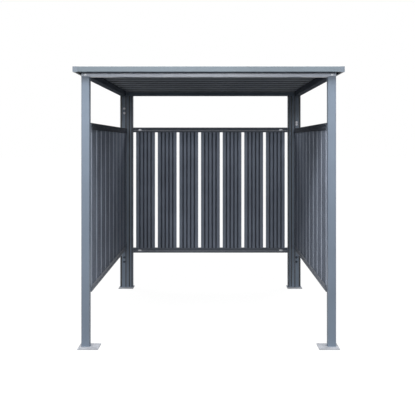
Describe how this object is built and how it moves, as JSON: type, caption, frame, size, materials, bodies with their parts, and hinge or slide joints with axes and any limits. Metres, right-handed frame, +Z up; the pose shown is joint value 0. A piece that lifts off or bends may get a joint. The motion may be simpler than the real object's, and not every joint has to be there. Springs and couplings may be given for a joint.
{
  "type": "bike shelter",
  "caption": "Open-fronted steel bike shelter: square posts on base plates, ribbed slat walls on three sides clear of the ground, and a flat ribbed roof with a plain fascia.",
  "frame": {"origin": "on the ground under the middle of the roof", "axes": "+Z up, +X to the right as seen from the open front, +Y from the open front to the rear wall"},
  "size_m": [1.972, 2.294, 2.054],
  "materials": {
    "frame_paint": "semi-gloss blue-grey powder coat on posts, jambs and beams",
    "rail_paint": "semi-gloss blue-grey powder coat on folded wall rails",
    "slat_paint": "satin blue-grey coil coat on roll-formed slats",
    "roof_paint": "satin blue-grey coil coat on ribbed roof panels",
    "fascia_paint": "semi-gloss blue-grey powder coat on the roof's fascia",
    "galvanised_plate": "dull galvanised steel with a faint spangle",
    "cap_plastic": "fine-grained moulded plastic in a grey close to the paint"
  },
  "bodies": {
    "root": {"front_left_post": "frame_paint", "front_right_post": "frame_paint", "rear_left_post": "frame_paint", "rear_right_post": "frame_paint", "rear_left_jamb": "frame_paint", "rear_right_jamb": "frame_paint", "front_left_base_plate": "galvanised_plate", "front_right_base_plate": "galvanised_plate", "rear_left_base_plate": "galvanised_plate", "rear_right_base_plate": "galvanised_plate", "front_beam": "frame_paint", "rear_beam": "frame_paint", "left_beam": "frame_paint", "right_beam": "frame_paint", "rear_wall_top_rail": "rail_paint", "left_wall_top_rail": "rail_paint", "right_wall_top_rail": "rail_paint", "rear_wall_bottom_rail": "rail_paint", "left_wall_bottom_rail": "rail_paint", "right_wall_bottom_rail": "rail_paint", "rear_wall_slats": "slat_paint", "left_wall_slats": "slat_paint", "right_wall_slats": "slat_paint", "roof_panel_1": "roof_paint", "roof_panel_2": "roof_paint", "roof_panel_3": "roof_paint", "roof_panel_4": "roof_paint", "roof_panel_5": "roof_paint", "roof_panel_6": "roof_paint", "roof_panel_7": "roof_paint", "roof_panel_8": "roof_paint", "roof_panel_9": "roof_paint", "roof_panel_10": "roof_paint", "front_fascia": "fascia_paint", "rear_fascia": "fascia_paint", "left_fascia": "fascia_paint", "right_fascia": "fascia_paint", "front_left_roof_cap": "cap_plastic", "front_right_roof_cap": "cap_plastic", "rear_left_roof_cap": "cap_plastic", "rear_right_roof_cap": "cap_plastic"}
  },
  "joints": []
}
